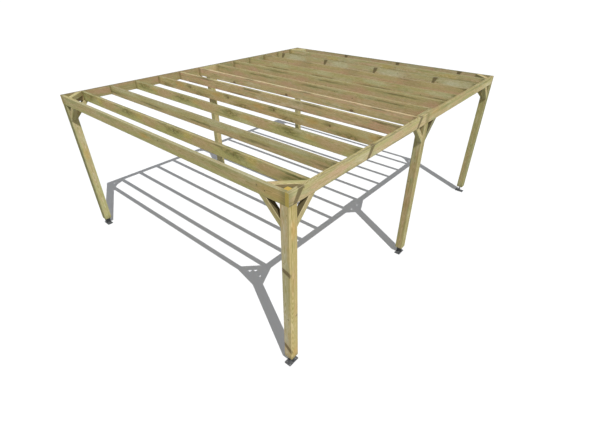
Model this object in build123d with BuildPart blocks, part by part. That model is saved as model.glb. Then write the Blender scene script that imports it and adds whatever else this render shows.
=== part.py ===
"""Free-standing timber pergola with a flat open roof.

Six square posts on steel blade feet carry a ring of beams set on edge.  The side beams run the
full length, and the front beam, the back beam and twelve rafters run between them with their
tops flush.  45 degree braces stiffen every joint: knee braces between posts and beams, and flat
corner braces inside the roof ring.

Frame: X runs across the front (left to right), Y from front to back, Z up.
The origin is on the ground at the middle of the plan.
"""

import os
from math import sqrt

from build123d import *

# %% Driving dimensions, in millimetres

# Overall frame
frame_width = 5000.0        # outer size of the roof ring along X
frame_length = 5960.0       # outer size of the roof ring along Y
roof_height = 2530.0        # top of beams and rafters above the ground

# Posts
post_size = 120.0           # square section
post_arris = 4.0            # eased long edges
post_bevel = 15.0           # bevel round the foot of each post, so that it sheds water
ground_gap = 110.0          # underside of the posts above the ground
core_drop = 15.0            # a corner post's core stops this far below the beam tops

# Beams of the roof ring
beam_thickness = 45.0
beam_depth = 150.0

# Rafters
rafter_count = 12
rafter_thickness = 45.0
rafter_depth = 150.0

# Braces, cut from one square section
brace_size = 70.0
knee_leg = 275.0            # reach of a knee brace along post and beam
core_gap = 20.0             # between a post's core and the flat brace across its corner
rafter_gap = 2.0            # between a flat corner brace's tips and the outermost rafter

# Board behind the joint in each side beam
splice_thickness = 45.0
splice_gap = 1.0            # at each end, to the rafters beside it

timber_arris = 3.0          # eased long edges of beams, rafters, braces and boards

# Steel feet: a base plate with an upright blade let into the post
plate_length = 165.0
plate_width = 95.0
plate_thickness = 8.0
plate_corner = 6.0          # cut off each corner of the plate
blade_width = 90.0
blade_thickness = 8.0
blade_insert = 140.0        # length of blade inside the post
blade_fit = 1.0             # clearance round the blade in its slot
anchor_hole = 12.0          # diameter
anchor_pitch_long = 115.0
anchor_pitch_short = 55.0

# Steel pins through post and blade
pin_diameter = 12.0
pin_fit = 1.0               # how much wider the blade's holes are
pin_recess = 1.0            # pin ends below the faces of the post
lower_pin = 45.0            # pin heights above the underside of the post
upper_pin = 105.0

# %% Sizes and places worked out from them

half_width = frame_width / 2
half_length = frame_length / 2
beam_underside = roof_height - beam_depth
post_x = half_width - post_size / 2         # centre lines of the posts
post_y = half_length - post_size / 2
core_size = post_size - beam_thickness      # what stays of a corner post between the beams

# The flat brace stands clear of the core's corner, and the first rafter clear of its tips
flat_leg = sqrt(2) * (sqrt(2) * core_size + core_gap + brace_size)
first_rafter_y = -half_length + beam_thickness + flat_leg + rafter_gap + rafter_thickness / 2
rafter_pitch = -2 * first_rafter_y / (rafter_count - 1)
clear_width = frame_width - 2 * beam_thickness      # between the side beams
pin_heights = [ground_gap + lower_pin, ground_gap + upper_pin]

SIDES = {"left": -1, "right": 1}
ENDS = {"front": -1, "back": 1}


def save(part, name):
    """Label a finished piece and write it to its own file."""
    part.label = name
    export_step(part, f"parts/{name}.step")


# %% Straight timbers


def timber(end_plane, thickness, depth, length):
    """A length of planed timber with its four long edges eased.

    end_plane lies on one end, with its x axis across the thickness and its z axis along the grain.
    """
    with BuildPart() as piece:
        with BuildSketch(end_plane):
            section = Rectangle(thickness, depth)
            chamfer(section.vertices(), timber_arris)
        extrude(amount=length)
    return piece.part


def beam_along_x(x_start, y_middle, z_middle, thickness, depth, length):
    """A timber on edge that runs in the +X direction from x_start."""
    end_plane = Plane(origin=(x_start, y_middle, z_middle), x_dir=(0, 1, 0), z_dir=(1, 0, 0))
    return timber(end_plane, thickness, depth, length)


def beam_along_y(x_middle, y_start, z_middle, thickness, depth, length):
    """A timber on edge that runs in the +Y direction from y_start."""
    end_plane = Plane(origin=(x_middle, y_start, z_middle), x_dir=(-1, 0, 0), z_dir=(0, 1, 0))
    return timber(end_plane, thickness, depth, length)


# %% Posts


def pin_plane(x, y, height, blade_along_x):
    """The plane in the middle of the blade, square to the pin's axis."""
    pin_axis = (0, 1, 0) if blade_along_x else (1, 0, 0)
    return Plane(origin=(x, y, height), z_dir=pin_axis)


def post(name, x, y, plate_turned, rebates):
    """A post with a bevelled foot, a slot for its steel blade and holes for the pins.

    rebates holds the plan rectangles (x, y, size_x, size_y) that the beams take out of its head.
    """
    head = roof_height - core_drop if rebates else beam_underside
    with BuildPart() as piece:
        with BuildSketch(Plane.XY.offset(ground_gap)):
            with Locations((x, y)):
                Rectangle(post_size, post_size)
        extrude(amount=head - ground_gap)
        chamfer(piece.faces().sort_by(Axis.Z)[0].edges(), post_bevel)
        chamfer(piece.edges().filter_by(Axis.Z), post_arris)

        with BuildSketch(Plane.XY.offset(ground_gap)):
            with Locations(Location((x, y, 0), (0, 0, 90 if plate_turned else 0))):
                Rectangle(blade_thickness + 2 * blade_fit, blade_width + 2 * blade_fit)
        extrude(amount=blade_insert, mode=Mode.SUBTRACT)

        for height in pin_heights:
            with BuildSketch(pin_plane(x, y, height, plate_turned)):
                Circle(pin_diameter / 2)
            extrude(amount=post_size, both=True, mode=Mode.SUBTRACT)

        for rebate_x, rebate_y, size_x, size_y in rebates:
            with BuildSketch(Plane.XY.offset(beam_underside)):
                with Locations((rebate_x, rebate_y)):
                    Rectangle(size_x, size_y)
            extrude(amount=beam_depth, mode=Mode.SUBTRACT)
    save(piece.part, name)


def foot(name, x, y, plate_turned):
    """A steel foot: bored base plate and upright blade, whose top edge carries the post.

    Two steel pins through post and blade keep the post from lifting off.
    """
    long_axis = (0, 1, 0) if plate_turned else (1, 0, 0)
    with BuildPart() as piece:
        with BuildSketch(Plane(origin=(x, y, 0), x_dir=long_axis)):
            plate = Rectangle(plate_length, plate_width)
            chamfer(plate.vertices(), plate_corner)
            with GridLocations(anchor_pitch_long, anchor_pitch_short, 2, 2):
                Circle(anchor_hole / 2, mode=Mode.SUBTRACT)
        extrude(amount=plate_thickness)
        with BuildSketch(Plane(origin=(x, y, plate_thickness), x_dir=long_axis)):
            Rectangle(blade_thickness, blade_width)
        extrude(amount=ground_gap - plate_thickness + blade_insert)
        for height in pin_heights:
            with BuildSketch(pin_plane(x, y, height, plate_turned)):
                Circle((pin_diameter + pin_fit) / 2)
            extrude(amount=post_size, both=True, mode=Mode.SUBTRACT)
    save(piece.part, f"foot_{name}")

    pins = []
    for height in pin_heights:
        with BuildPart() as pin:
            with BuildSketch(pin_plane(x, y, height, plate_turned)):
                Circle(pin_diameter / 2)
            extrude(amount=post_size / 2 - pin_recess, both=True)
        pins.append(pin.part)
    save(Compound(children=pins), f"pins_{name}")


def corner_post(side_name, end_name):
    """A corner post, rebated on its two outer faces so that both beams lie flush."""
    side = SIDES[side_name]
    end = ENDS[end_name]
    x = side * post_x
    y = end * post_y
    cross_rebate = (x, end * (half_length - beam_thickness / 2), post_size, beam_thickness)
    side_rebate = (side * (half_width - beam_thickness / 2), y, beam_thickness, post_size)
    # Plates lie along X under two opposite corners and along Y under the other two
    plate_turned = side != end
    post(f"post_{end_name}_{side_name}", x, y, plate_turned, [cross_rebate, side_rebate])
    foot(f"{end_name}_{side_name}", x, y, plate_turned)


def middle_post(side_name):
    """The post half way along a side, cut off level under the joint in the side beam."""
    x = SIDES[side_name] * post_x
    post(f"post_middle_{side_name}", x, 0, True, [])
    foot(f"middle_{side_name}", x, 0, True)


# %% Roof ring and rafters


def roof_ring():
    """Side beams over the full length, each in two lengths, and front and back beams between."""
    beam_z = roof_height - beam_depth / 2
    for end_name, end in ENDS.items():
        y = end * (half_length - beam_thickness / 2)
        beam = beam_along_x(-clear_width / 2, y, beam_z, beam_thickness, beam_depth, clear_width)
        save(beam, f"beam_{end_name}")
        for side_name, side in SIDES.items():
            x = side * (half_width - beam_thickness / 2)
            y_start = min(0, end * half_length)
            beam = beam_along_y(x, y_start, beam_z, beam_thickness, beam_depth, half_length)
            save(beam, f"beam_{side_name}_{end_name}")


def rafters():
    """Evenly spaced rafters between the side beams, their tops flush with the ring."""
    rafter_z = roof_height - rafter_depth / 2
    x_start = -clear_width / 2
    for index in range(rafter_count):
        y = first_rafter_y + index * rafter_pitch
        rafter = beam_along_x(x_start, y, rafter_z, rafter_thickness, rafter_depth, clear_width)
        save(rafter, f"rafter_{index + 1:02d}")


def splice_boards():
    """A board on edge behind each side beam's joint, between the two rafters beside it."""
    board_z = roof_height - beam_depth / 2
    length = rafter_pitch - rafter_thickness - 2 * splice_gap
    for side_name, side in SIDES.items():
        x = side * (half_width - beam_thickness - splice_thickness / 2)
        board = beam_along_y(x, -length / 2, board_z, splice_thickness, beam_depth, length)
        save(board, f"splice_board_{side_name}")


# %% Braces


def brace(corner, first_axis, second_axis, leg):
    """A 45 degree brace whose two ends are cut to lie flat on the faces that meet at corner.

    first_axis and second_axis point from the corner along those faces, and leg is how far the
    brace's outer edge reaches along each.  corner lies on the brace's middle plane.
    """
    along_first = Vector(*first_axis)
    along_second = Vector(*second_axis)
    corner_point = Vector(*corner)
    towards_middle = (along_first + along_second).normalized()
    grain = (along_first - along_second).normalized()
    from_corner = leg / sqrt(2) - brace_size / 2
    middle = corner_point + towards_middle * from_corner
    with BuildPart() as piece:
        with BuildSketch(Plane(origin=middle, x_dir=towards_middle, z_dir=grain)):
            section = Rectangle(brace_size, brace_size)
            chamfer(section.vertices(), timber_arris)
        extrude(amount=leg, both=True)
        split(bisect_by=Plane(origin=corner_point, z_dir=along_first), keep=Keep.TOP)
        split(bisect_by=Plane(origin=corner_point, z_dir=along_second), keep=Keep.TOP)
    return piece.part


def corner_knee_braces(side_name, end_name):
    """The two knee braces of a corner post, flush with the outer faces of post and beams."""
    side = SIDES[side_name]
    end = ENDS[end_name]
    down = (0, 0, -1)
    cross_corner = (side * (half_width - post_size), end * (half_length - brace_size / 2), beam_underside)
    side_corner = (side * (half_width - brace_size / 2), end * (half_length - post_size), beam_underside)
    cross_brace = brace(cross_corner, (-side, 0, 0), down, knee_leg)
    side_brace = brace(side_corner, (0, -end, 0), down, knee_leg)
    save(Compound(children=[cross_brace, side_brace]), f"knee_braces_{end_name}_{side_name}")


def middle_knee_braces(side_name):
    """The pair of knee braces that spreads from a middle post under the side beam."""
    x = SIDES[side_name] * (half_width - brace_size / 2)
    braces = []
    for end in ENDS.values():
        corner = (x, end * post_size / 2, beam_underside)
        braces.append(brace(corner, (0, end, 0), (0, 0, -1), knee_leg))
    save(Compound(children=braces), f"knee_braces_middle_{side_name}")


def corner_brace(side_name, end_name):
    """The flat brace across an inner corner of the roof ring, its top flush with the beams."""
    side = SIDES[side_name]
    end = ENDS[end_name]
    inner_x = side * (half_width - beam_thickness)
    inner_y = end * (half_length - beam_thickness)
    corner = (inner_x, inner_y, roof_height - brace_size / 2)
    save(brace(corner, (-side, 0, 0), (0, -end, 0), flat_leg), f"corner_brace_{end_name}_{side_name}")


# %% Build and write every piece

os.makedirs("parts", exist_ok=True)

for end_name in ENDS:
    for side_name in SIDES:
        corner_post(side_name, end_name)
        corner_knee_braces(side_name, end_name)
        corner_brace(side_name, end_name)

for side_name in SIDES:
    middle_post(side_name)
    middle_knee_braces(side_name)

roof_ring()
rafters()
splice_boards()
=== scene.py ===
# %% [markdown]
# # A garden pergola in pressure-treated pine
#
# The real thing is a free-standing frame: six square posts on steel blade feet, a ring of beams on
# edge, twelve rafters between the side beams, and 45 degree braces in every corner.  The shapes of
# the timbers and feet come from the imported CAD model, in metres: X runs across the front, Y from
# front to back, Z up.  This lesson gives them their finish, adds the screws and welds that hold the
# frame together, and lights the whole on a white ground.

# %% Load the timbers and feet
from math import cos, pi, radians, sin, sqrt

import bpy
import numpy as np
from mathutils import Matrix, Vector


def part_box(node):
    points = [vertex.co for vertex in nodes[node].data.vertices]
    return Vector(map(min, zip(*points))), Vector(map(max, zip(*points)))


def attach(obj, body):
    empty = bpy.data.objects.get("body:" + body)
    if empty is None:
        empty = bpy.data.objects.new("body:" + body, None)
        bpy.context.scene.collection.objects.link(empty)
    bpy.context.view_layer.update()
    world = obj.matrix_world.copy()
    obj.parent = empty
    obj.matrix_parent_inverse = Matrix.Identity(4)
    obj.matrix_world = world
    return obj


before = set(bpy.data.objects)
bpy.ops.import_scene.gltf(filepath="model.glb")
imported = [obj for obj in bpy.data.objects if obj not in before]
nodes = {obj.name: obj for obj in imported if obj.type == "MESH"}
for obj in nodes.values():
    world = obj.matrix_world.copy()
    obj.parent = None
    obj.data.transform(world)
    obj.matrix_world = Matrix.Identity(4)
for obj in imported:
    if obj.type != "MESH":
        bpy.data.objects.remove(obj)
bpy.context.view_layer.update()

# %% [markdown]
# Sizes that are needed more than once are read from the pieces' boxes, so that they stay right when
# the model changes.


# %% Sizes of the timbers
def size_of(node):
    """The length of a piece's box along X, Y and Z."""
    low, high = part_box(node)
    return high - low


# Which way from the middle: along X for the sides, along Y for the ends
SIDES = {"left": -1, "right": 1}
ENDS = {"front": -1, "back": 1}
ROWS = ("front", "middle", "back")
POSTS = [f"{row}_{side}" for row in ROWS for side in SIDES]

roof_low, roof_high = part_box("beam_right_front")
half_width = roof_high.x
half_length = -roof_low.y
roof_top = roof_high.z
roof_underside = roof_low.z
beam_thickness = size_of("beam_right_front").x
post_size = size_of("post_middle_right").x
brace_size = size_of("knee_braces_middle_right").x
knee_leg = size_of("knee_braces_middle_right").z
flat_leg = size_of("corner_brace_front_right").x
print("half width", round(half_width, 3), "half length", round(half_length, 3), "knee", round(knee_leg, 3))

# %% [markdown]
# ## Camera
#
# The pergola is seen from above its front right corner, with a wide 22 mm lens, which makes the near
# post stand out tall.  The heading is the line of sight's angle from +X towards +Y.


# %% Camera
def add_object(name, data, turn=None):
    """An object of the scene that shows a camera, a mesh or a lamp, turned by a quaternion."""
    made = bpy.data.objects.new(name, data)
    bpy.context.scene.collection.objects.link(made)
    if turn:
        made.rotation_mode = "QUATERNION"
        made.rotation_quaternion = turn
    return made


camera_place = Vector((4.444, -5.119, 4.201))
camera_heading = radians(130.234)
camera_tilt = radians(33.076)  # below the horizon

camera_data = bpy.data.cameras.new("camera")
camera_data.sensor_width = 36.0
camera_data.lens = 22.19
camera_data.clip_start = 0.05
camera_data.clip_end = 2000.0
line_of_sight = Vector((
    cos(camera_tilt) * cos(camera_heading), cos(camera_tilt) * sin(camera_heading), -sin(camera_tilt)))
camera = add_object("camera", camera_data, line_of_sight.to_track_quat("-Z", "Y"))
camera.location = camera_place
bpy.context.scene.camera = camera
bpy.context.scene.view_settings.view_transform = "Standard"
near_corner = Vector((half_width, -half_length, roof_top))
print("camera stands", round((camera_place - near_corner).length, 2), "m from the near corner")

# %% [markdown]
# ## A small language for shader maths
#
# A Blender material is a graph of nodes.  Written out call by call, even a simple formula becomes a
# page of `nodes.new` and `links.new`.  So one small class wraps the socket that a value flows out
# of, and gives it Python's operators: `1 - mask * 0.5` adds the two Math nodes by itself.  The
# reflected forms (`__rsub__` and the like) make a plain number work on the left.


# %% A value that flows through a graph
def operator(operation, reflected=False):
    """A method that puts a value and another through a Math node."""

    def method(self, other):
        return self.maths(operation, *((other, self) if reflected else (self, other)))

    return method


class Flow:
    """The value that flows out of one socket; an operator on it adds a Math node."""

    def __init__(self, graph, socket):
        self.graph = graph
        self.socket = socket

    def maths(self, operation, *values, clamp=False):
        settings = {"operation": operation, "use_clamp": clamp}
        return self.graph.node("Math", settings, dict(enumerate(values)))

    __add__ = __radd__ = operator("ADD")
    __mul__ = __rmul__ = operator("MULTIPLY")
    __sub__ = operator("SUBTRACT")
    __rsub__ = operator("SUBTRACT", reflected=True)
    __truediv__ = operator("DIVIDE")
    __rtruediv__ = operator("DIVIDE", reflected=True)
    __pow__ = operator("POWER")
    least = operator("MINIMUM")
    most = operator("MAXIMUM")

    def __abs__(self):
        return self.maths("ABSOLUTE", self)

    def fraction(self):
        return self.maths("FRACT", self)

    def clamped(self):
        return self.maths("ADD", self, 0.0, clamp=True)

    def step(self, low, high, to_low=0.0, to_high=1.0):
        """A smooth step from to_low at or below low, to to_high at or above high."""
        settings = {"interpolation_type": "SMOOTHSTEP"}
        return self.graph.node("MapRange", settings, {0: self, 1: low, 2: high, 3: to_low, 4: to_high})


# %% [markdown]
# A `Graph` holds the nodes of one material, or of the sky.  Its `node` makes any other node from its
# type, its settings and what goes into its sockets.


# %% A graph of nodes
class Graph:
    """The nodes of a material or a world."""

    def __init__(self, owner):
        owner.use_nodes = True
        self.tree = owner.node_tree
        self.tree.nodes.clear()

    def fill(self, socket, value):
        """Put a number or a colour into a socket, or link a Flow to it."""
        if isinstance(value, Flow):
            self.tree.links.new(value.socket, socket)
        else:
            socket.default_value = value

    def node(self, kind, settings=None, sockets=None, output=0):
        """Any node: its settings are set first, then its sockets are filled; returns one output."""
        made = self.tree.nodes.new("ShaderNode" + kind)
        for name, value in (settings or {}).items():
            setattr(made, name, value)
        for name, value in (sockets or {}).items():
            self.fill(made.inputs[name], value)
        return Flow(self, made.outputs[output]) if made.outputs else None


# %% [markdown]
# `Finish` is the graph of one material.  Math nodes would turn colours and vectors grey, so these
# have `blend` and `vector` of their own.


# %% A material
class Finish(Graph):
    """A material, with a Principled shader whose sockets the finish feeds."""

    def __init__(self, name):
        self.material = bpy.data.materials.new(name)
        super().__init__(self.material)
        surface = self.node("BsdfPrincipled")
        self.shader = surface.socket.node
        self.node("OutputMaterial", None, {"Surface": surface})

    def vector(self, operation, *operands, output="Vector"):
        return self.node("VectorMath", {"operation": operation}, dict(enumerate(operands)), output)

    def parts(self, vector):
        """The three numbers of a vector."""
        split = self.node("SeparateXYZ", None, {0: vector})
        return [Flow(self, socket) for socket in split.socket.node.outputs]

    def blend(self, factor, first, second, how="MIX"):
        """Two colours blended by a factor, as image editors blend layers."""
        settings = {"data_type": "RGBA", "blend_type": how, "clamp_factor": True}
        return self.node("Mix", settings, {0: factor, 6: first, 7: second}, 2)

    def multiplied(self, first, second):
        return self.blend(1.0, first, second, "MULTIPLY")

    def noise(self, place, scale, detail=2.0, roughness=0.5, output=0):
        sockets = {"Vector": place, "Scale": scale, "Detail": detail, "Roughness": roughness}
        return self.node("TexNoise", {"noise_dimensions": "3D"}, sockets, output)

    def bump(self, height, strength, distance):
        return self.node("Bump", None, {"Height": height, "Strength": strength, "Distance": distance})

    def feed(self, **sockets):
        """Fill the Principled shader's sockets; Base_Color stands for Base Color."""
        for name, value in sockets.items():
            self.fill(self.shader.inputs[name.replace("_", " ")], value)
        return self.material


def colour(red, green, blue):
    """A colour as linear light, with full opacity."""
    return (red, green, blue, 1.0)


# %% [markdown]
# ## Treated pine
#
# Every board was cut from a log, so its pattern is a slice through the log's year rings.  The
# material asks how far each point of the board is from the pith, the middle of the log, and spaces
# the year rings evenly in that distance.  So where the saw ran nearly along a ring the face shows
# broad arches, elsewhere fine lines, and the ends show arcs.  One formula gives all of that, and the
# grain runs on round each edge, where a flat pattern wrapped round the board would break.

# %% Colours of treated pine
sapwood = colour(0.520, 0.440, 0.215)
heartwood = colour(0.560, 0.420, 0.235)
green_tone = colour(0.330, 0.325, 0.140)
knot_brown = colour(0.170, 0.120, 0.050)
knot_rim = colour(0.085, 0.060, 0.028)
knot_halo = colour(0.330, 0.260, 0.110)
spike_brown = colour(0.165, 0.122, 0.048)
spike_dark = colour(0.085, 0.062, 0.026)
crack_dark = colour(0.085, 0.065, 0.032)
rubbed_edge = colour(0.640, 0.570, 0.340)
# Painted shade on a brace's face towards its corner
painted_corner_shade = colour(0.078, 0.058, 0.024)
dull_tone = colour(0.150, 0.138, 0.085)
# Painted shade on the lowest edge
painted_low_edge_shade = colour(0.62, 0.60, 0.58)
# Painted shade on the faces near a board's ends
damp_end = colour(0.170, 0.148, 0.060)
end_grain = colour(0.500, 0.375, 0.092)
# Painted shade on the end grain at the top of three posts
painted_shade_end_grain = colour(0.130, 0.100, 0.036)
soaked_ring = colour(0.320, 0.215, 0.048)

STAINS = {
    "dark": colour(0.165, 0.155, 0.060),
    "knotty": colour(0.205, 0.180, 0.058),
    "green": colour(0.375, 0.365, 0.165),
    "pink": colour(0.560, 0.375, 0.230),
    "orange": colour(0.600, 0.380, 0.130),
    "yellow": colour(0.580, 0.450, 0.150),
    "pale": colour(0.600, 0.560, 0.350),
    "grey": colour(0.540, 0.540, 0.400),
}
print("stain tones:", ", ".join(STAINS))


# %% [markdown]
# A `Pine` is a `Finish` that knows its board.  A Mapping node turns Object coordinates to the
# board's own axes, with zero at its middle.  Both knee braces of a post are one CAD piece, so their
# material first asks in which of them a point is.  Noise is usually round, but everything in wood
# is drawn out along the grain, so `grain_noise` takes the length and width of its blobs in metres.


# %% A board's own axes and noise
def board_axes(grain, across):
    """Rows are the unit vectors along the grain and across it both ways."""
    grain = Vector(grain).normalized()
    across = Vector(across).normalized()
    return Matrix((grain, across, grain.cross(across)))


class Pine(Finish):
    """Treated pine for one board; half is half its size along the grain and across it both ways.

    frames holds the board's middle and axes, or those of two boards in one piece: the second board
    is where Y times end is over the limit.
    """

    def __init__(self, name, half, seed, frames, end, limit):
        super().__init__(name)
        self.half = half
        self.body = sapwood
        self.chance = np.random.default_rng(seed)
        self.spot = self.node("TexCoord", output="Object")
        self.place, *second = [self.board_place(*board) for board in frames]
        if second:
            which = (self.parts(self.spot)[1] * end).step(limit - 0.001, limit + 0.001)
            sockets = {0: which, 4: self.place, 5: second[0]}
            self.place = self.node("Mix", {"data_type": "VECTOR"}, sockets, 1)
        self.along, self.across, self.height = self.parts(self.place)
        self.log_place = self.vector("ADD", self.place, tuple(self.chance.uniform(-20, 20, 3)))
        # Noises that several layers share
        self.patch = self.grain_noise(0.45, 0.14, 2.0, 0.55)
        self.cloud = self.grain_noise(0.22, 0.06, 3.0, 0.6)
        self.band = self.grain_noise(0.50, 0.016, 3.0, 0.6)
        self.fleck = self.grain_noise(0.055, 0.020, 1.0, 0.5)
        self.thread = self.grain_noise(0.18, 0.0038, 2.0, 0.6)
        self.fibre = self.grain_noise(0.09, 0.0011, 2.0, 0.6)

    def board_place(self, middle, axes):
        """A point as (along the grain, across, height), in metres from the board's middle."""
        sockets = {"Vector": self.spot, "Location": -(axes @ middle), "Rotation": axes.to_euler("XYZ")}
        return self.node("Mapping", {"vector_type": "POINT"}, sockets)

    def cover(self, mask, tone):
        """Lay a tone over the board's colour so far, where the mask says."""
        self.body = self.blend(mask, self.body, tone)

    def grain_noise(self, length, width, detail=2.0, roughness=0.5, output=0):
        """Noise whose blobs are about length long on the grain and width across it."""
        counted = self.vector("MULTIPLY", self.log_place, (1 / length, 1 / width, 1 / width))
        return self.noise(counted, 1.0, detail, roughness, output)


# %% [markdown]
# **Heart and sap.**  The middle of the log is heartwood, warmer in tone, and the outside is sapwood,
# which takes the green of the preservative.  One flat tone would look like plastic, so broad
# patches and fine streaks go over both.


# %% Heart, sap and patches
def heart_and_sap(pine, radius, heart, variety):
    """Heartwood inside the radius heart and sapwood outside; variety scales the patches."""
    in_heart = (radius + pine.patch * 0.06 - 0.03).step(heart + 0.014, heart - 0.01)
    pine.cover(in_heart, heartwood)
    pine.cover(pine.patch.step(0.54, 0.68) * (0.7 * variety), STAINS["pink"])
    pine.cover(pine.patch.step(0.46, 0.32) * (0.6 * variety), STAINS["pale"])
    pine.cover(pine.cloud.step(0.52, 0.68) * (0.8 * variety), STAINS["green"])
    streaky = pine.band.step(0.48, 0.68) * (1 - in_heart * 0.4)
    pine.cover(streaky * (0.85 * variety), green_tone)


# %% [markdown]
# **Year rings.**  The distance from the pith, divided by the width of a year, counts the years, and
# its fraction runs from 0 to 1 within each year.  Early wood is pale, darkens slowly to late wood
# and stops sharply at the winter line.  The pith wanders a little along the log, and that alone
# turns straight lines into arches.


# %% Year rings
def distance_from_pith(pine):
    """Length of (across, height) less the pith's place, which wanders by slow noise along the log.

    A post holds the heart of its log, and a thinner board was cut beside it.
    """
    if pine.half[1] < 0.05:
        pith = pine.chance.uniform([-0.055, -0.08], [-0.015, 0.08])
    else:
        pith = pine.chance.uniform(-0.025, 0.025, 2)
    start = (0.0, -float(pith[0]), -float(pith[1]))
    wander = pine.grain_noise(1.1, 7.0, 1.0, output="Color")
    wander = pine.vector("SUBTRACT", wander, (0.5, 0.5, 0.5))
    middle = pine.vector("MULTIPLY_ADD", wander, (0.0, 0.1, 0.1), start)
    offset = pine.vector("ADD", pine.place, middle)
    offset = pine.vector("MULTIPLY", offset, (0.0, 1.0, 1.0))
    return pine.vector("LENGTH", offset, output="Value")


def late_wood(pine, radius, ring_width):
    """0 in early wood, rising to 1 at the winter line, from the fraction of radius / ring_width."""
    wave = pine.grain_noise(0.32, 0.11)
    season = ((radius + wave * 0.008) / ring_width).fraction()
    return season.step(0.3, 0.93) * season.step(1.0, 0.93)


def rings_and_fibres(pine, radius, variety):
    """Darken the board by late wood, fibres and flecks; returns the late wood's mask."""
    late = late_wood(pine, radius, float(pine.chance.uniform(0.0034, 0.0052)))
    shade = 1 - late * (0.2 + pine.band * 0.25)
    shade = shade * (0.92 + pine.fibre * 0.2) * (0.84 + pine.fleck * 0.32)
    shade = shade * (1.01 - variety * 0.21 + pine.cloud * (variety * 0.42))
    tone = pine.node("CombineColor", None, {0: shade, 1: shade, 2: shade * shade})
    pine.body = pine.multiplied(pine.body, tone)
    return late


# %% [markdown]
# **Knots.**  A knot is the root of a branch: a straight line that runs outwards through the timber.
# The distance from that line gives the dark eye, its rim, and the swirl of grain round it.  A spot
# painted on one face would be simpler, but a line comes out on the other faces too, as a branch
# does.  Where the saw split a branch along its length, it left a long dark stroke, a spike knot,
# which widens outwards like a slender cone.


# %% Knots
def nearest_branch(pine, knots, taper=0.0):
    """The least distance from any branch's line, counted in that branch's own radius.

    Each knot is (place, direction, radius); the distance is |(point - place) x direction| / radius.
    With a taper the radius is radius * (1 - taper + taper * share), where share, the point's dot
    product with the direction over its length squared, goes from 0 at the place to 1 at its end.
    """
    nearest = None
    for place, direction, radius in knots:
        direction = Vector(direction)
        offset = pine.vector("SUBTRACT", pine.place, tuple(place))
        away = pine.vector("CROSS_PRODUCT", offset, tuple(direction.normalized() / radius))
        away = pine.vector("LENGTH", away, output="Value")
        if taper:
            per_length = tuple(direction / direction.length_squared)
            share = pine.vector("DOT_PRODUCT", offset, per_length, output="Value")
            away = away / (1 - taper + share.clamped() * taper)
        nearest = away if nearest is None else nearest.least(away)
    ragged = pine.noise(pine.log_place, 60.0)
    return nearest + ragged * 0.5 - 0.25


# %% [markdown]
# **Stains.**  Preservative soaks in unevenly, and resin and heartwood keep it out, so a face has
# long dark streaks, broad green, pink or yellow patches, and blotches where small knots crowd.
# Noise alone would put them anywhere, so each is placed as an ellipsoid: its tone, its middle, its
# three half sizes, its pitch and its strength.  The pitch is how far along the board the stain
# comes back, or 0 where it doesn't.


# %% Stains
def stain(pine, stains):
    """Lay each stain's tone on where |(point - middle) / half sizes + drift| is under 1.

    Drift is a noise that frays the outline.  A pitch first wraps the point round the stain's
    middle.  A dark stain is broken up along the fibres, and a knotty one into blotches.
    """
    drift = pine.grain_noise(0.12, 0.03, 2.0, 0.6, output="Color")
    drift = pine.vector("MULTIPLY_ADD", drift, (1.3, 1.3, 1.3), (-0.65, -0.65, -0.65))
    fibrous = (pine.band * 0.5 + pine.thread * 0.5).step(0.36, 0.6)
    blotchy = pine.fleck.step(0.42, 0.58)
    far = 9.0
    for tone, middle, half_sizes, pitch, strength in stains:
        place = pine.place
        if pitch:
            top = (middle[0] + pitch / 2, far, far)
            bottom = (middle[0] - pitch / 2, -far, -far)
            place = pine.vector("WRAP", place, top, bottom)
        away = pine.vector("SUBTRACT", place, middle)
        away = pine.vector("DIVIDE", away, half_sizes)
        away = pine.vector("ADD", away, drift)
        mask = pine.vector("LENGTH", away, output="Value").step(1.15, 0.3)
        if tone == "dark":
            mask = mask * (0.35 + fibrous * 0.65)
        if tone == "knotty":
            mask = mask * (0.3 + blotchy * 0.7)
        pine.cover(mask * strength, STAINS[tone])


# %% [markdown]
# **Drying cracks.**  A post that holds the whole heart of its log can't shrink evenly, so it
# splits in long thin lines.  Cut into the mesh, a line a millimetre wide would cost thousands of
# faces, so it is a mask, dark and sunk by the bump.


# %% Drying cracks
def drying_cracks(pine, cracks):
    """1 inside the cracks; each is (axis, sign, offset, start, end).

    A crack opens on the face that looks along the axis, 1 across or 2 height, the sign's way.  It
    lies at an offset from the board's middle line and runs from start to end.
    """
    wave = (pine.patch - 0.5) * 0.03 + (pine.cloud - 0.5) * 0.006
    found = None
    for axis, sign, offset, start, end in cracks:
        outward = (pine.across, pine.height)[axis - 1] * sign
        sideways = abs((pine.height, pine.across)[axis - 1] - offset + wave)
        share = abs(pine.along - (start + end) / 2) / ((end - start) / 2)
        half_gap = share.step(1.0, 0.4, 0.0, 0.0011)
        line = (sideways - half_gap).step(0.0006, 0.0) * share.step(1.0, 0.95)
        line = line * outward.step(pine.half[axis] - 0.02, pine.half[axis] - 0.012)
        found = line if found is None else found.most(line)
    return found


# %% [markdown]
# ** Ends and edges.** A saw-cut end drinks far more preservative than a planed face, so it is a deep yellow; on three posts the end grain is painted dark instead, as painted shade. Painted shade also darkens the faces beside each end by a hand's breadth, dims the face that looks up and darkens the lowest edge, while the long edges rub paler. Each of these needs only one distance, so each is a smooth step of it.


# %% Ends and edges
def ends_and_painted_shade(pine, late, damp, end_tone):
    """End grain within a millimetre of both ends, and painted shade on the faces near them."""
    to_end = pine.half[0] - abs(pine.along)
    at_end = to_end.step(0.0012, 0.0004)
    shaded_near_end = (to_end + pine.patch * 0.05).step(0.11 + damp * 0.02, 0.03)
    shaded_near_end = shaded_near_end * (0.4 + pine.patch * 0.6)
    pine.cover(shaded_near_end * damp, damp_end)
    pine.cover(at_end, pine.blend(late * 0.7, end_tone, soaked_ring))


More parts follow.
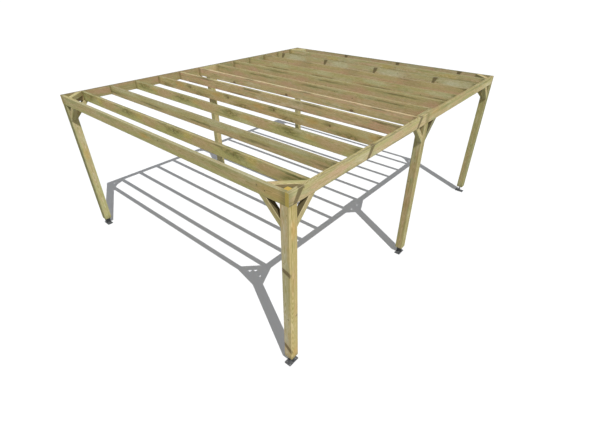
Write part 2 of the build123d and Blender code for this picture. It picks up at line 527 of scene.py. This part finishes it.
def painted_top_shade(pine, tone):
    """Painted shade: multiply the face that looks up by a tone, and the lowest edge by a darker one."""
    up = pine.height.step(pine.half[2] - 0.0045, pine.half[2] - 0.0028)
    low_edge = (pine.height + pine.half[2]).step(0.01, 0.005)
    pine.cover(low_edge * 0.8, pine.multiplied(pine.body, painted_low_edge_shade))
    pine.cover(up, pine.multiplied(pine.body, colour(*tone)))


def worn_edges(pine):
    """The rubbed tone where both distances, to the side and to the top, are small."""
    to_edge = (pine.half[1] - abs(pine.across)).most(pine.half[2] - abs(pine.height))
    edge = (to_edge + (pine.fibre - 0.5) * 0.003).step(0.006, 0.0025)
    pine.cover(edge * 0.4, rubbed_edge)


# %% [markdown]
# ** All together.** The layers go on in turn, from the wood itself to what the saw did to it, wear and painted shade, and last the board's own tint. Bump comes from the same masks as the colour: fibres and late wood stand up a fraction of a millimetre, cracks go down.


# %% The whole material
def treated_pine(name, half, seed, frames, knots, spikes=(), stains=(), cracks=(), tint=(1, 1, 1),
                 heart=0.045, variety=1.0, top=None, sawn_face=0.0, dull_side=False, damp=0.75,
                 end_tone=end_grain, end=1, limit=0.0):
    """The finish of one board; tint multiplies its colour, heart is the heartwood's radius.

    spikes are the branches that the saw split, variety is how patchy the board is, and top is the painted
    shade that dims the face that looks up and darkens the lowest edge.  sawn_face, 0 to 1, is painted shade
    on a brace's face towards its corner, and dull_side darkens what lies behind Y = 0.  damp, 0 to 1, is how
    dark the painted shade near the ends is.
    """
    pine = Pine(name, half, seed, frames, end, limit)
    radius = distance_from_pith(pine)
    heart_and_sap(pine, radius, heart, variety)
    stain(pine, stains)

    # Knots bend the rings round them
    eye = nearest_branch(pine, knots)
    halo = (1 / (1 + eye * eye * 0.55)) ** 2.0
    pine.cover(halo * 0.55, knot_halo)
    late = rings_and_fibres(pine, radius + halo * 0.016, variety)
    knot = eye.step(1.12, 0.72)
    rim = knot * eye.step(0.45, 0.95)
    pine.cover(knot * 0.9, knot_brown)
    pine.cover(rim * 0.55, knot_rim)
    relief = late * 0.35 + pine.fibre * 0.5 + pine.band * 0.2 + knot * 0.6 - rim * 0.5
    roughness = 0.7 + pine.band * 0.14 - late * 0.1 - knot * 0.18
    if spikes:
        split = nearest_branch(pine, spikes, taper=0.35)
        spike = split.step(1.2, 0.7)
        branch_ring = (split * 5.0 + pine.patch * 3.0).fraction().step(0.15, 0.95)
        branch = pine.blend(branch_ring, spike_brown, spike_dark)
        pine.cover(spike * (0.75 + pine.thread * 0.2), branch)
        relief = relief + spike * branch_ring * 0.5
    if cracks:
        crack = drying_cracks(pine, cracks)
        pine.cover(crack * 0.85, crack_dark)
        relief = relief - crack * 3.0

    worn_edges(pine)
    # Painted shade on the face that looks up and on the lowest edge
    if top:
        painted_top_shade(pine, top)
    # A darker tone on what lies behind Y = 0
    if dull_side:
        behind = pine.parts(pine.spot)[1].step(0.0, 0.01)
        pine.cover(behind * (0.6 + pine.cloud * 0.3), dull_tone)
    # Painted shade on a brace's face towards its corner, where the shade falls
    if sawn_face:
        towards_corner = (pine.across + half[1]).step(0.0012, 0.0002)
        pine.cover(towards_corner * sawn_face, painted_corner_shade)
    # Painted shade near both ends, then the end grain
    ends_and_painted_shade(pine, late, damp, end_tone)
    pine.shader.inputs["Specular IOR Level"].default_value = 0.25
    return pine.feed(Base_Color=pine.multiplied(pine.body, colour(*tint)), Roughness=roughness.clamped(),
                     Normal=pine.bump(relief, 0.55, 0.0006))


def put_on(node, material):
    """Give a CAD piece its material."""
    nodes[node].data.materials.clear()
    nodes[node].data.materials.append(material)


def dress(node, half, seed, frames, knots, **looks):
    """Give a CAD timber its own cut of treated pine."""
    put_on(node, treated_pine(f"pine_{node}", half, seed, frames, knots, **looks))


# %% [markdown]
# ## Dressing the boards
#
# A board's box gives its middle and its size, and its seed makes it a cut of its own from the
# log.  Small branches fall at random; the ones that stand out on a board are placed.

# %% Dressing straight boards
GRAIN_ACROSS = {"x": ((1, 0, 0), (0, 1, 0)), "y": ((0, 1, 0), (-1, 0, 0)), "z": ((0, 0, 1), (0, 1, 0))}


def random_knots(half, seed, count):
    """Branches through the board, each with a slight tilt."""
    chance = np.random.default_rng(seed + 1000)
    reach = np.array(half) * (0.95, 0.6, 0.8)
    places = chance.uniform(-reach, reach, (count, 3))
    tilts = chance.uniform([-0.35, 1.0, -0.5], [0.35, 1.0, 0.5], (count, 3))
    radii = chance.uniform(0.004, 0.009, count)
    return list(zip(places.tolist(), tilts.tolist(), radii.tolist()))


def dress_board(node, grain, seed, knots=(), loose_knots=4, **looks):
    """Give a straight CAD timber its own cut of treated pine; grain is x, y or z."""
    low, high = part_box(node)
    axes = board_axes(*GRAIN_ACROSS[grain])
    centre = (low + high) / 2
    half = [abs(value) / 2 for value in axes @ (high - low)]
    all_knots = list(knots) + random_knots(half, seed, loose_knots)
    dress(node, half, seed, [(centre, axes)], all_knots, **looks)


# %% [markdown]
# Timbers from one log carry the same marks again and again, about 1.0 to 1.4 m apart, where the
# tree put out a whorl of branches each year.  So most marks are given once, with a pitch.


# %% Marks that come back along a board
def whorls(first, pitch, count, low_point, high_point, radius):
    """A branch at each whorl, through two points given as (along from the whorl, across, height)."""
    low_point = np.array(low_point)
    direction = (np.array(high_point) - low_point).tolist()
    places = [low_point + (first + turn * pitch, 0, 0) for turn in range(count)]
    return [(place.tolist(), direction, radius) for place in places]


def streak(along, height, half_long, half_high, tone="dark", strength=0.8, pitch=0):
    """A streak or patch that runs through the whole thickness of a beam or rafter."""
    return (tone, (along, 0.0, height), (half_long, 1.0, half_high), pitch, strength)


def streaks(pitch, *marks):
    """Several streaks that come back at one pitch."""
    return [streak(*mark, pitch=pitch) for mark in marks]


# %% [markdown]
# The rafters are numbered from the front.  They came from different logs, so each has its own tint; each
# also has its own top, the painted shade on the face that looks up.  One material for all would be shorter,
# but the eye finds a repeated board.

# %% Rafters
rafter_marks = {
    1: dict(top=(0.645, 0.655, 0.69), tint=(1.11, 1.19, 1.03), variety=0.8,
            knots=whorls(-0.965, 1.17, 3, (0, -0.02, 0.022), (0, 0.02, 0.03), 0.014),
            stains=streaks(1.17, (-0.965, 0.032, 0.25, 0.075, "knotty", 0.88), (-0.4, 0, 0.3, 0.09, "pink"),
                           (-0.66, 0.03, 0.12, 0.06, "yellow", 0.6), (-0.07, 0.06, 0.13, 0.018))
            + [("dark", (0, 0.0165, 0.075), (9, 0.013, 0.012), 0, 1),
               # Painted shade at the right end, beside the side beam and the corner brace
               ("dark", (2.44, -0.0225, 0.052), (0.36, 0.02, 0.022), 0, 1),
               ("dark", (2.44, -0.0225, -0.01), (0.4, 0.02, 0.09), 0, 0.8)]),
    2: dict(top=(0.54, 0.53, 0.57), tint=(1.06, 1.07, 1.02), variety=0.8,
            stains=streaks(1.2, (0.07, -0.015, 0.42, 0.022), (0.5, 0.05, 0.6, 0.03, "pale", 0.8))),
    3: dict(top=(0.515, 0.515, 0.52), tint=(1.13, 1.19, 1.07), variety=0.8,
            knots=whorls(-0.955, 1.17, 3, (0, -0.02, 0.016), (0, 0.02, 0.024), 0.012),
            stains=streaks(1.17, (0.205, 0.024, 0.25, 0.078, "knotty", 0.88),
                           (-0.35, 0, 0.28, 0.09, "pink"), (-0.62, 0.02, 0.12, 0.05, "orange", 0.4))),
    4: dict(top=(0.525, 0.53, 0.535), tint=(1.15, 1.1, 1.02), variety=0.8,
            knots=whorls(-2.455, 1.03, 5, (0, -0.02, 0.034), (0, 0.02, 0.044), 0.018),
            stains=streaks(1.03, (-0.095, -0.042, 0.26, 0.055, "knotty", 0.88), (0.605, 0.05, 0.11, 0.045),
                           (0.32, 0.03, 0.16, 0.05, "orange", 0.5))),
    5: dict(top=(0.7, 0.755, 0.74), tint=(1.24, 1.12, 1.2),
            stains=streaks(1.27, (-1.6, 0.064, 0.3, 0.026, "dark", 1))
            + streaks(1.33, (-0.695, -0.064, 0.26, 0.022, "dark", 1))),
    6: dict(top=(0.81, 0.855, 0.84), tint=(1.26, 1.17, 1.27),
            knots=whorls(-1.345, 1.365, 3, (0, -0.02, -0.062), (0, 0.02, -0.058), 0.036),
            stains=streaks(1.355, (0.465, 0.067, 0.16, 0.018)) + streaks(1.365, (0, -0.07, 0.16, 0.016))),
    7: dict(top=(0.6, 0.56, 0.54), tint=(1.13, 1.12, 1.11), variety=0.7,
            stains=streaks(1.38, (0.305, 0.036, 0.5, 0.021), (1, -0.02, 0.24, 0.07, "pink"))),
    8: dict(top=(0.555, 0.555, 0.515), tint=(1.13, 1.12, 1.1), variety=0.7,
            stains=streaks(1.38, (0.265, 0.032, 0.5, 0.021), (0.95, -0.02, 0.24, 0.07, "pink"))),
    9: dict(top=(0.48, 0.435, 0.41), tint=(1.16, 1.18, 1.13), variety=0.7,
            stains=streaks(1.22, (-0.255, -0.04, 0.44, 0.022), (-0.25, 0.035, 0.34, 0.05, "pale", 0.6))),
    10: dict(top=(0.475, 0.48, 0.445), tint=(1.18, 1.11, 1.12), variety=0.4,
             stains=streaks(1.2, (0.1, 0.067, 0.22, 0.018))
             + streaks(1.3, (0.06, 0, 0.28, 0.12, "pink", 0.6), (-1.15, 0, 0.24, 0.1, "green", 0.5))),
    11: dict(top=(0.435, 0.42, 0.38), tint=(1.18, 1.2, 1.28), variety=0.7,
             spikes=whorls(-2.239, 1.303, 4, (-0.024, -0.002, -0.034), (0.024, -0.026, 0.08), 0.045),
             stains=streaks(1.303, (0.76, 0.01, 0.36, 0.09, "pale", 0.8), (0.55, -0.066, 0.26, 0.018))),
    12: dict(top=(0.525, 0.51, 0.51), tint=(1.14, 1.18, 1.2), variety=0.8,
             spikes=whorls(-1.265, 1.38, 3, (0, -0.02, -0.078), (0, 0.02, -0.076), 0.048),
             stains=streaks(1.41, (-1.05, 0.02, 0.24, 0.06, "yellow", 0.5))
             + streaks(1.38, (0.6, -0.02, 0.5, 0.024, "dark", 0.5))),
}
for number, marks in rafter_marks.items():
    dress_board(f"rafter_{number:02d}", "x", 300 + number, loose_knots=3, damp=1, **marks)
print("rafters dressed:", len(rafter_marks))

# %% Front and back beams
# top, on the beams and splice boards as on the rafters, is painted shade on the face that looks up
dress_board("beam_front", "x", 200, top=(0.82, 0.82, 1.06), variety=0.5, tint=(0.95, 1, 0.9),
            knots=[((2.08, -0.02, 0.02), (0.1, 1, 0.2), 0.009)],
            stains=[streak(0.05, 0.012, 0.17, 0.05, "orange", 0.85),
                    streak(-0.93, 0.04, 0.36, 0.035, "green", 0.6, 1.2),
                    ("yellow", (-2.15, 0, 0.075), (0.4, 0.05, 0.015), 0, 0.6),
                    streak(2.35, 0, 0.35, 0.1, "orange", 0.5)])
dress_board("beam_back", "x", 201, top=(0.49, 0.49, 0.5), loose_knots=3, tint=(1.07, 1.11, 1.17),
            spikes=whorls(-0.908, 1.375, 3, (-0.012, -0.008, 0.004), (0.012, -0.026, 0.08), 0.05),
            stains=[streak(0, 0.072, 2.6, 0.012, "dark", 0.6)])
print("end beams dressed: 2")

# %% Side beams and splice boards
side_beam_marks = {
    "right_front": dict(
        top=(0.8, 0.75, 0.74), tint=(1.07, 1.12, 1.14), variety=0.8,
        spikes=whorls(-1.36, 1.298, 3, (-0.05, -0.0215, -0.075), (0.05, -0.0195, 0.075), 0.04),
        stains=[("dark", (0.11, -0.0225, 0.075), (1, 0.016, 0.016), 0, 1),
                ("dark", (0, -0.0225, 0.075), (1.6, 0.012, 0.015), 0, 0.9),
                ("dark", (0.3, 0.0225, 0.075), (1.3, 0.014, 0.02), 0, 1),
                *streaks(1.28, (-0.54, -0.066, 0.5, 0.018, "dark", 0.7), (-0.7, 0.02, 0.22, 0.06, "pink"))]),
    "right_back": dict(
        top=(0.72, 0.66, 0.64), tint=(0.95, 0.99, 0.94), variety=0.8,
        stains=[("dark", (0, 0.0225, 0.075), (1.6, 0.012, 0.02), 0, 0.8)] + streaks(
            0, (-0.75, 0.04, 0.85, 0.035, "dark", 0.4), (0.7, 0.05, 0.95, 0.03, "dark", 0.65),
            (-1.2, 0.045, 0.25, 0.04, "orange", 0.4), (0.1, -0.03, 0.6, 0.04, "green"),
            (1.15, -0.03, 0.45, 0.05, "pale", 0.6))),
    # The left side beams are tinted darker all over, as painted shade
    "left_front": dict(top=(0.47, 0.48, 0.44), tint=(0.75, 0.73, 0.73),
                       stains=[streak(0.3, 0, 0.25, 0.06, "pink", pitch=1.1)]),
    "left_back": dict(top=(0.47, 0.48, 0.44), tint=(0.73, 0.74, 0.74),
                      stains=[streak(0.2, 0, 0.25, 0.06, "green", pitch=1.2)]),
}
for seed, (name, marks) in enumerate(side_beam_marks.items()):
    dress_board(f"beam_{name}", "y", 220 + seed, loose_knots=2, **marks)
for seed, side in enumerate(SIDES):
    dress_board(f"splice_board_{side}", "y", 240 + seed, loose_knots=1, top=(0.7, 0.7, 0.72))
print("side beams dressed:", len(side_beam_marks), "splice boards:", len(SIDES))

# %% [markdown]
# A post holds the whole heart of its log, so its heartwood is wide and it cracks.  On three posts the end
# grain at the top is painted dark, and the front left and back right posts get a dark stain on the right
# face: all of that is painted shade.  A post's front face is at across -0.06, and its right face at height
# -0.06.

# %% Posts
post_marks = {
    "front_right": dict(
        tint=(1.12, 1.06, 0.96), variety=0.5, cracks=[(1, -1, 0.05, -0.65, 0.2)],
        spikes=[((-0.958, -0.054, 0.06), (-0.09, -0.028, -0.12), 0.042),
                ((0.2575, -0.054, 0.06), (-0.045, -0.028, -0.12), 0.04)],
        stains=[("orange", (0.79, 0, -0.06), (0.16, 0.05, 0.03), 0, 0.5),
                ("orange", (-1.08, 0, -0.06), (0.08, 0.05, 0.03), 0, 0.4),
                ("grey", (-0.1, -0.06, 0.02), (1.5, 0.02, 0.07), 0, 0.75),
                ("green", (0, -0.06, 0), (0.52, 0.02, 0.09), 0, 0.45)]),
    "front_left": dict(
        tint=(1.01, 1.11, 1.12), variety=0.6, end_tone=painted_shade_end_grain,
        stains=[("orange", (0.18, 0, -0.06), (0.16, 0.06, 0.03), 0, 0.6),
                # Painted shade on the right face under the beams
                ("dark", (1.05, 0, -0.06), (0.3, 0.09, 0.012), 0, 0.5),
                # Stains that darken the whole front face
                ("dark", (-0.6, -0.06, 0), (1, 0.014, 0.09), 0, 0.4),
                *((tone, (0, -0.06, 0), (2.5, 0.014, 0.09), 0, strength)
                  for tone, strength in (("knotty", 0.6), ("orange", 0.28), ("dark", 1)))]),
    "back_right": dict(
        tint=(0.95, 1, 0.94), variety=0.8, end_tone=painted_shade_end_grain, cracks=[(2, -1, 0.01, -0.3, 0.7)],
        # Painted shade: a dark stain over the whole right face
        stains=[("dark", (0, 0, -0.06), (2.5, 0.09, 0.012), 0, 0.9)]),
    "back_left": dict(end_tone=painted_shade_end_grain, cracks=[(1, 1, -0.015, -0.8, 0.3)]),
    "middle_right": dict(
        tint=(0.97, 0.98, 0.92), damp=0.1, cracks=[(2, -1, 0.018, -0.9, -0.1)],
        # A stain that darkens the whole right face
        stains=[("dark", (0, 0, -0.06), (2.5, 0.09, 0.012), 0, 0.28),
                ("dark", (0, -0.06, 0.055), (1.5, 0.03, 0.018), 0, 0.6)]),
    "middle_left": dict(cracks=[(2, 1, -0.012, -0.2, 0.8)]),
}
for seed, (name, marks) in enumerate(post_marks.items()):
    dress_board(f"post_{name}", "z", 100 + seed, loose_knots=5, heart=0.05, **marks)
print("posts dressed:", len(post_marks))

# %% [markdown]
# ## Braces
#
# A brace's grain runs along its own length, at 45 degrees.  Each is found as a carpenter would set
# it out: from the inner corner between two timbers, its outer edge reaches one leg along each.


# %% Setting out a brace
def brace_frame(corner, first, second, leg):
    """The brace's middle and its axes: the grain is first - second, and across leaves the corner."""
    towards_middle = (Vector(first) + Vector(second)).normalized()
    middle = Vector(corner) + towards_middle * (leg / sqrt(2) - brace_size / 2)
    return middle, board_axes(Vector(first) - Vector(second), towards_middle)


def knee_brace_frames(side_name, row):
    """The frames of the two knee braces at a corner post or a middle post."""
    side = SIDES[side_name]
    down = (0, 0, -1)
    x = side * (half_width - brace_size / 2)
    if row == "middle":
        return [brace_frame((x, way * post_size / 2, roof_underside), (0, way, 0), down, knee_leg)
                for way in (-1, 1)]
    end = ENDS[row]
    y = end * (half_length - brace_size / 2)
    side_corner = (x, end * (half_length - post_size), roof_underside)
    cross_corner = (side * (half_width - post_size), y, roof_underside)
    return [brace_frame(side_corner, (0, -end, 0), down, knee_leg),
            brace_frame(cross_corner, (-side, 0, 0), down, knee_leg)]


def flat_brace_frame(side_name, end_name):
    """The frame of the flat brace inside a corner of the roof ring."""
    side, end = SIDES[side_name], ENDS[end_name]
    x = side * (half_width - beam_thickness)
    y = end * (half_length - beam_thickness)
    return brace_frame((x, y, roof_top - brace_size / 2), (-side, 0, 0), (0, -end, 0), flat_leg)


# %% [markdown]
# The face of a brace towards its corner is darkened by painted shade, the shade that falls in the corner.
# The brace that runs backward from the right middle post is darker.

# %% Dressing the braces
brace_half = (0.30, brace_size / 2, brace_size / 2)
knee_corner_shade = 0.92  # how dark the painted shade on the face towards the corner is, 0 to 1
flat_corner_shade = 0.50
between_pair = half_length - (post_size + brace_size) / 2


def dress_braces(node, seed, frames, **looks):
    """One brace or a pair, with a single small knot."""
    dress(node, brace_half, seed, frames, random_knots((0.2, 0.03, 0.03), seed, 1), **looks)


for side_number, side in enumerate(SIDES):
    for row_number, row in enumerate(ROWS):
        looks = dict(tint=(0.98, 1.03, 0.98), variety=0.6, sawn_face=knee_corner_shade)
        if row in ENDS:
            looks.update(end=ENDS[row], limit=between_pair)
        elif side == "right":
            looks.update(dull_side=True)
        seed = 400 + 10 * side_number + row_number
        dress_braces(f"knee_braces_{row}_{side}", seed, knee_brace_frames(side, row), **looks)
    for end_number, end in enumerate(ENDS):
        seed = 450 + 10 * side_number + end_number
        dress_braces(f"corner_brace_{end}_{side}", seed, [flat_brace_frame(side, end)], sawn_face=flat_corner_shade)
print("braces dressed: knee", 2 * len(POSTS), "flat", len(SIDES) * len(ENDS))

# %% [markdown]
# ## Steel feet
#
# The feet are welded plate with a dark grey coat, and dust on top of the plates has made them
# paler.  A point's height tells the top of a plate from all the rest, so one material does it.

# %% Painted steel
plate_top = 0.008


def painted_steel():
    """Dark grey paint: fine orange peel in the bump, and paler dust on top of the plates."""
    steel = Finish("painted_steel")
    spot = steel.node("TexCoord", output="Object")
    peel = steel.noise(spot, 900.0)
    dust = steel.noise(spot, 22.0, 4.0, 0.6)
    scuff = steel.noise(spot, 160.0, 3.0, 0.7)
    height = steel.parts(spot)[2]
    on_plate = height.step(plate_top - 0.0006, plate_top - 0.0001)
    on_plate = on_plate * height.step(plate_top + 0.0006, plate_top + 0.0001)
    paint = steel.blend(scuff.step(0.40, 0.80), colour(0.036, 0.039, 0.042), colour(0.062, 0.066, 0.070))
    paint = steel.blend(dust.step(0.30, 0.70) * on_plate * 0.8, paint, colour(0.125, 0.128, 0.128))
    rough = 0.38 + dust * 0.25 + on_plate * 0.10
    return steel.feed(Base_Color=paint, Roughness=rough.clamped(), Normal=steel.bump(peel, 0.2, 0.0003))


steel_coat = painted_steel()
for post in POSTS:
    put_on(f"foot_{post}", steel_coat)
print("feet painted:", len(POSTS))


# %% [markdown]
# The pins through the posts and the screws are zinc plated: a soft grey shine with a faint spangle,
# so it is a metal whose roughness and tone both vary a little.


# %% Zinc plate
def zinc_plate():
    """Bright zinc: metallic, with a spangle from cell noise in its tone and roughness."""
    plate = Finish("zinc_plate")
    spot = plate.node("TexCoord", output="Object")
    spangle = plate.node("TexVoronoi", {"feature": "F1"}, {"Vector": spot, "Scale": 420.0}, "Distance")
    haze = plate.noise(spot, 90.0, 3.0, 0.6)
    tone = plate.blend(haze.step(0.35, 0.70), colour(0.30, 0.295, 0.27), colour(0.43, 0.42, 0.39))
    rough = 0.34 + spangle * 0.10 + haze * 0.14
    return plate.feed(Base_Color=tone, Roughness=rough.clamped(), Metallic=1.0,
                      Normal=plate.bump(haze, 0.15, 0.0002))


zinc = zinc_plate()
for post in POSTS:
    put_on(f"pins_{post}", zinc)
print("pairs of pins plated:", len(POSTS))

# %% [markdown]
# ## Welds
#
# Each blade is joined to its plate by a fillet weld along both sides.  A bead is laid in small
# overlapping pools, so it is a quarter-round profile, carried along the joint, that swells with
# each pool.


# %% A closed surface from a grid
def grid_faces(rows, columns):
    """Quads of a grid whose columns close into a ring, with both ends capped."""
    quads = []
    for start in range(0, (rows - 1) * columns, columns):
        for column in range(columns):
            here, beside = start + column, start + (column + 1) % columns
            quads.append([here, beside, beside + columns, here + columns])
    last = list(range((rows - 1) * columns, rows * columns))
    return quads + [list(range(columns))[::-1], last]


def repeat_faces(faces, points_each, copies):
    """The faces of several copies of one shape, whose points follow each other."""
    starts = [copy * points_each for copy in range(copies)]
    return [[corner + start for corner in face] for start in starts for face in faces]


def add_piece(name, points, faces, material, smooth=True):
    """A piece from plain arrays, with its material, which rides on the pergola."""
    mesh = bpy.data.meshes.new(name)
    mesh.from_pydata(points.tolist(), [], faces)
    mesh.polygons.foreach_set("use_smooth", np.full(len(mesh.polygons), smooth))
    mesh.materials.append(material)
    piece = add_object(name, mesh)
    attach(piece, "root")


# %% Weld beads
weld_size = 0.006
weld_pools = 22
weld_steps = 89
profile_turn = np.linspace(0, pi / 2, 6)
blade_half_long = 0.045
blade_half_thick = 0.004


def weld_bead(start, end, outwards):
    """A quarter-round ridge from start to end; outwards points away from the blade.

    At share s along it the radius is weld_size (0.86 + 0.14 |cos(pi pools s)|), drawn in at both
    ends, and at turn t the profile is radius (outwards cos t + up sin t).  A last row of points,
    just under the joint, closes the back.
    """
    share = np.linspace(0, 1, weld_steps)
    swell = 0.86 + 0.14 * np.abs(np.cos(pi * weld_pools * share))
    taper = np.sqrt(np.clip(np.minimum(share, 1 - share) * 25, 0.04, 1))
    radius = weld_size * swell * taper
    path = np.outer(1 - share, start) + np.outer(share, end)
    profile = np.outer(np.cos(profile_turn), outwards) + np.outer(np.sin(profile_turn), (0, 0, 1))
    ridge = path[:, None, :] + radius[:, None, None] * profile[None, :, :]
    buried = path - 0.001 * (np.array(outwards) + (0, 0, 1))
    return np.concatenate([ridge, buried[:, None, :]], axis=1).reshape(-1, 3)


beads = []
for post in POSTS:
    low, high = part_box(f"foot_{post}")
    # The blade stands along the shorter side of its plate
    along = Vector((0, 1, 0)) if high.x - low.x > high.y - low.y else Vector((1, 0, 0))
    half_joint = along * blade_half_long
    for sign in (-1, 1):
        outwards = Vector((along.y, along.x, 0)) * sign
        root = ((low + high) / 2).xy.to_3d() + Vector((0, 0, plate_top)) + outwards * blade_half_thick
        beads.append(weld_bead(root - half_joint, root + half_joint, outwards))
bead_faces = repeat_faces(grid_faces(weld_steps, len(profile_turn) + 1), len(beads[0]), len(beads))
add_piece("weld_beads", np.concatenate(beads), bead_faces, steel_coat)
print("weld beads:", len(beads), "faces:", len(bead_faces))

# %% [markdown]
# ## Screws
#
# Every joint is screwed.  A countersunk head is a surface of revolution with a six-lobed hole for
# the driver, so its radius is a function of the height and, in the hole, of the turn round it.
# There are nearly two hundred heads, so each has only a few dozen faces.

# %% One screw head
head_radius = 0.0050
head_segments = 12
head_turn = np.arange(head_segments) * (2 * pi / head_segments)

# Rings from the floor of the driver's hole, up its wall and over the rim to the underside, each as
# (share of the head's radius, height in metres, depth of the lobes)
HEAD_RINGS = [(0.30, -0.0016, 0.20), (0.36, 0.0004, 0.20), (0.82, 0.0006, 0.0),
              (1.00, 0.0001, 0.0), (0.55, -0.0030, 0.0)]


def head_points():
    """At turn t of each ring the radius is head_radius * share * (1 + depth cos 6t)."""
    share, height, depth = np.array(HEAD_RINGS).T[:, :, None]
    radius = head_radius * share * (1 + depth * np.cos(6 * head_turn))
    points = [radius * np.cos(head_turn), radius * np.sin(head_turn), height + 0 * radius]
    return np.stack(points, axis=-1).reshape(-1, 3)


HEAD = head_points()
HEAD_FACES = [face[::-1] for face in grid_faces(len(HEAD_RINGS), head_segments)]
print("one head:", len(HEAD), "points,", len(HEAD_FACES), "faces")


# %% Setting screws
def add_screws(name, screws):
    """All heads of one kind of joint as one piece; each screw is (place, outwards).

    A point of a head is place + x side + y up + z outwards, with side and up square to outwards.
    """
    places, outwards = [np.array(column, dtype=float) for column in zip(*screws)]
    outwards /= np.linalg.norm(outwards, axis=1, keepdims=True)
    helper = np.where(np.abs(outwards[:, 2:]) < 0.9, [[0.0, 0.0, 1.0]], [[1.0, 0.0, 0.0]])
    side = np.cross(helper, outwards)
    side /= np.linalg.norm(side, axis=1, keepdims=True)
    turned = np.stack([side, np.cross(outwards, side), outwards], axis=1)
    points = places[:, None, :] + np.einsum("pk,skm->spm", HEAD, turned)
    faces = repeat_faces(HEAD_FACES, len(HEAD), len(screws))
    add_piece(name, points.reshape(-1, 3), faces, zinc, smooth=False)
    print(name, len(screws), "heads,", len(faces), "faces")


# %% [markdown]
# Rafters are toe-screwed: near each end, screws go in at a slant through both sides of the rafter
# into the side beam, so each head leans and half of it sinks into the wood.

# %% Rafter screws
toe_reach = 0.038  # from the side beam's inner face to the head
toe_stagger = 0.010  # how much farther in the upper screw stands
toe_heights = (-0.040, 0.035)  # from the rafter's middle line
toe_lean = 0.45

screws = []
for number in rafter_marks:
    low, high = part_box(f"rafter_{number:02d}")
    middle_height = (low.z + high.z) / 2
    for side, end_x in ((-1, low.x), (1, high.x)):
        for face_side, face_y in ((-1, low.y), (1, high.y)):
            for offset in toe_heights:
                x = end_x - side * (toe_reach + toe_stagger * (offset > 0))
                screws.append(((x, face_y, middle_height + offset), (-side * toe_lean, face_side, 0)))
add_screws("screws_rafters", screws)

# %% [markdown]
# A brace takes two screws near each tip, through the face that looks away from the corner.  They
# stand a little apart along the grain, so that they don't split it.

# %% Brace screws
tip_reach = 0.050  # from a brace's tip, along its outer face
screw_spread = 0.017  # to both sides of the brace's middle line
screw_stagger = 0.008  # along the grain


def brace_screws(frame_of_brace, leg):
    """Two screws near each end of the face that looks away from the corner."""
    middle, axes = frame_of_brace
    grain, across, height = axes
    half_face = leg / sqrt(2) - tip_reach
    screws = []
    for along in (-half_face, half_face):
        for sign in (-1, 1):
            place = middle + grain * (along + screw_stagger * sign) + across * (brace_size / 2)
            screws.append((place + height * (screw_spread * sign), across))
    return screws


knee_frames = [pair for side in SIDES for row in ROWS for pair in knee_brace_frames(side, row)]
flat_frames = [flat_brace_frame(side, end) for side in SIDES for end in ENDS]
add_screws("screws_knee_braces", [screw for pair in knee_frames for screw in brace_screws(pair, knee_leg)])
add_screws("screws_corner_braces", [screw for one in flat_frames for screw in brace_screws(one, flat_leg)])

# %% [markdown]
# The board behind each joint is screwed to both lengths of the side beam, six screws to each.

# %% Splice board screws
board_columns = (-0.175, -0.110, -0.045, 0.045, 0.110, 0.175)
board_margin = 0.035  # from the board's upper and lower edges
board_stagger = 0.006

screws = []
for side_name, side in SIDES.items():
    low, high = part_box(f"splice_board_{side_name}")
    inner_x = low.x if side > 0 else high.x
    for y in board_columns:
        for sign, z in ((-1, low.z + board_margin), (1, high.z - board_margin)):
            screws.append(((inner_x, y + sign * board_stagger, z), (-side, 0, 0)))
add_screws("screws_splice_boards", screws)

# %% [markdown]
# ## Ground and light
#
# The ground is a wide sheet of white, and the sky is white too, so that they meet without a line.
# To light that bounces off it the ground is a mid grey, because a white one would light the timbers
# from below and flatten them.  The Light Path node tells the kinds of ray apart.


# %% Ground
def seen_directly(graph):
    """1 for rays from the camera, a reflection or a clear body, 0 for light that bounces about."""
    seen = graph.node("LightPath", output="Is Camera Ray")
    for ray in ("Is Glossy Ray", "Is Transmission Ray"):
        seen = seen.most(graph.node("LightPath", output=ray))
    return seen


ground_reach = 400.0
ground_sides = 64
ground_drop = 0.0005  # so that it doesn't share a plane with the feet
turn = np.linspace(0, 2 * pi, ground_sides, endpoint=False)
rim_points = ground_reach * np.stack([np.cos(turn), np.sin(turn), 0 * turn], axis=1) - (0, 0, ground_drop)
ground_mesh = bpy.data.meshes.new("ground")
ground_mesh.from_pydata(rim_points.tolist(), [], [list(range(ground_sides))])
ground = add_object("ground", ground_mesh)

ground_finish = Finish("ground_white")
ground_tone = ground_finish.blend(
    seen_directly(ground_finish), colour(0.29, 0.29, 0.29), colour(0.885, 0.885, 0.885))
ground_finish.feed(Base_Color=ground_tone, Roughness=1.0)
ground_finish.shader.inputs["Specular IOR Level"].default_value = 0.0
ground_mesh.materials.append(ground_finish.material)
print("ground reaches", ground_reach, "m")

# %% [markdown]
# A clear sun, high on the right, gives crisp shadows, bright right-hand faces and calm front ones.
# Three wide soft lamps, at the right, in front and at the back left, lift the shaded faces as pale
# walls would.  They shine level, so they leave the shadows on the ground alone.


# %% Sun and soft lamps
def add_sun(name, direction, strength, spread):
    """A sun lamp; direction points to the lamp, and spread is its angle in degrees."""
    data = bpy.data.lights.new(name, "SUN")
    data.energy = strength
    data.angle = radians(spread)
    add_object(name, data, Vector(direction).to_track_quat("Z", "Y"))
    print(name, "strength", strength)


add_sun("sun", (0.515, -0.268, 0.814), 3.42, 0.15)
add_sun("side_light", (1, 0, 0), 0.56, 60)
add_sun("front_light", (0, -1, 0), 0.30, 60)
add_sun("back_light", (-1, 1, 0), 0.65, 60)

# %% [markdown]
# The sky has two faces as well: plain white where it is seen, and a weaker, slightly blue light.

# %% Sky
world = bpy.data.worlds.new("sky")
bpy.context.scene.world = world
sky = Graph(world)
sky_light = sky.node("Background", None, {"Color": colour(0.955, 0.995, 1.06), "Strength": 0.265})
sky_white = sky.node("Background", None, {"Color": colour(1, 1, 1), "Strength": 1.0})
both = sky.node("MixShader", None, {0: seen_directly(sky), 1: sky_light, 2: sky_white})
sky.node("OutputWorld", None, {"Surface": both})
print("sky nodes:", len(sky.tree.nodes))
